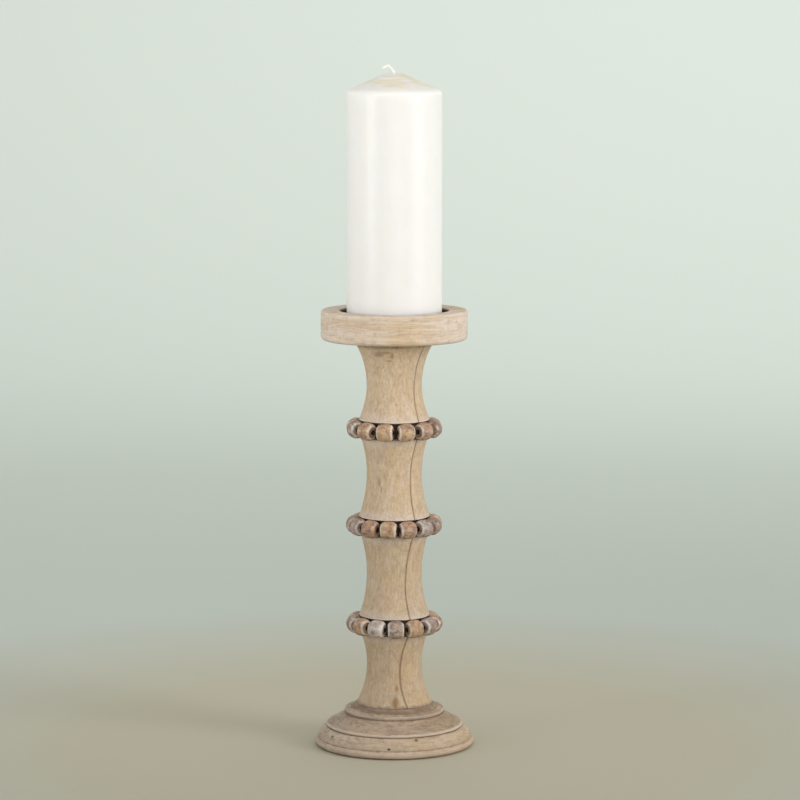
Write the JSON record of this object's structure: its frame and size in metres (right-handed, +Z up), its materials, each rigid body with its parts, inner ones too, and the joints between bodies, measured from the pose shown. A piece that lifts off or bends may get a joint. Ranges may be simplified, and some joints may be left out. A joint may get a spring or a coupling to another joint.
{
  "type": "pricket candle stand",
  "caption": "Turned pale-washed wooden pricket stand: stepped round base, spooled stem with bead strings, flat cup with a steel spike that holds a pillar candle.",
  "frame": {"origin": "middle of the felt's underside, on the resting plane, on the axis of the turning", "axes": "+Z up along the stem, -Y towards the side that the picture shows, +X to its right"},
  "size_m": [0.118, 0.118, 0.5027],
  "materials": {
    "washed_wood": "turned, pale wash, matt",
    "bead_wood": "turned, stained, worn pale wash",
    "cord": "twisted, matt black",
    "steel": "plain drawn",
    "felt": "pressed felt",
    "wax": "moulded wax, soft gloss",
    "wick_cotton": "braided cotton, waxed"
  },
  "bodies": {
    "stand": {"base": "washed_wood", "base_felt": "felt", "base_screw": "steel", "stem_back_board": "washed_wood", "stem_front_board": "washed_wood", "cup": "washed_wood", "spike_washer": "steel", "pricket_spike": "steel"},
    "candle": {"candle": "wax", "wick": "wick_cotton"},
    "bead_string_upper": {"bead_cord_upper": "cord", "bead_upper_01": "bead_wood", "bead_upper_02": "bead_wood", "bead_upper_03": "bead_wood", "bead_upper_04": "bead_wood", "bead_upper_05": "bead_wood", "bead_upper_06": "bead_wood", "bead_upper_07": "bead_wood", "bead_upper_08": "bead_wood", "bead_upper_09": "bead_wood", "bead_upper_10": "bead_wood", "bead_upper_11": "bead_wood", "bead_upper_12": "bead_wood"},
    "bead_string_middle": {"bead_cord_middle": "cord", "bead_middle_01": "bead_wood", "bead_middle_02": "bead_wood", "bead_middle_03": "bead_wood", "bead_middle_04": "bead_wood", "bead_middle_05": "bead_wood", "bead_middle_06": "bead_wood", "bead_middle_07": "bead_wood", "bead_middle_08": "bead_wood", "bead_middle_09": "bead_wood", "bead_middle_10": "bead_wood", "bead_middle_11": "bead_wood", "bead_middle_12": "bead_wood", "bead_middle_13": "bead_wood"},
    "bead_string_lower": {"bead_cord_lower": "cord", "bead_lower_01": "bead_wood", "bead_lower_02": "bead_wood", "bead_lower_03": "bead_wood", "bead_lower_04": "bead_wood", "bead_lower_05": "bead_wood", "bead_lower_06": "bead_wood", "bead_lower_07": "bead_wood", "bead_lower_08": "bead_wood", "bead_lower_09": "bead_wood", "bead_lower_10": "bead_wood", "bead_lower_11": "bead_wood", "bead_lower_12": "bead_wood", "bead_lower_13": "bead_wood"}
  },
  "joints": [
    {"name": "candle_lift", "type": "slide", "parent": "stand", "child": "candle", "axis": [0, 0, 1], "range_m": [0, 0.06]},
    {"name": "bead_string_upper_turn", "type": "hinge", "parent": "stand", "child": "bead_string_upper", "pos_m": [0, 0, 0.2365], "axis": [0, 0, 1], "continuous": true},
    {"name": "bead_string_middle_turn", "type": "hinge", "parent": "stand", "child": "bead_string_middle", "pos_m": [0, 0, 0.1647], "axis": [0, 0, 1], "continuous": true},
    {"name": "bead_string_lower_turn", "type": "hinge", "parent": "stand", "child": "bead_string_lower", "pos_m": [0, 0, 0.0909], "axis": [0, 0, 1], "continuous": true}
  ]
}
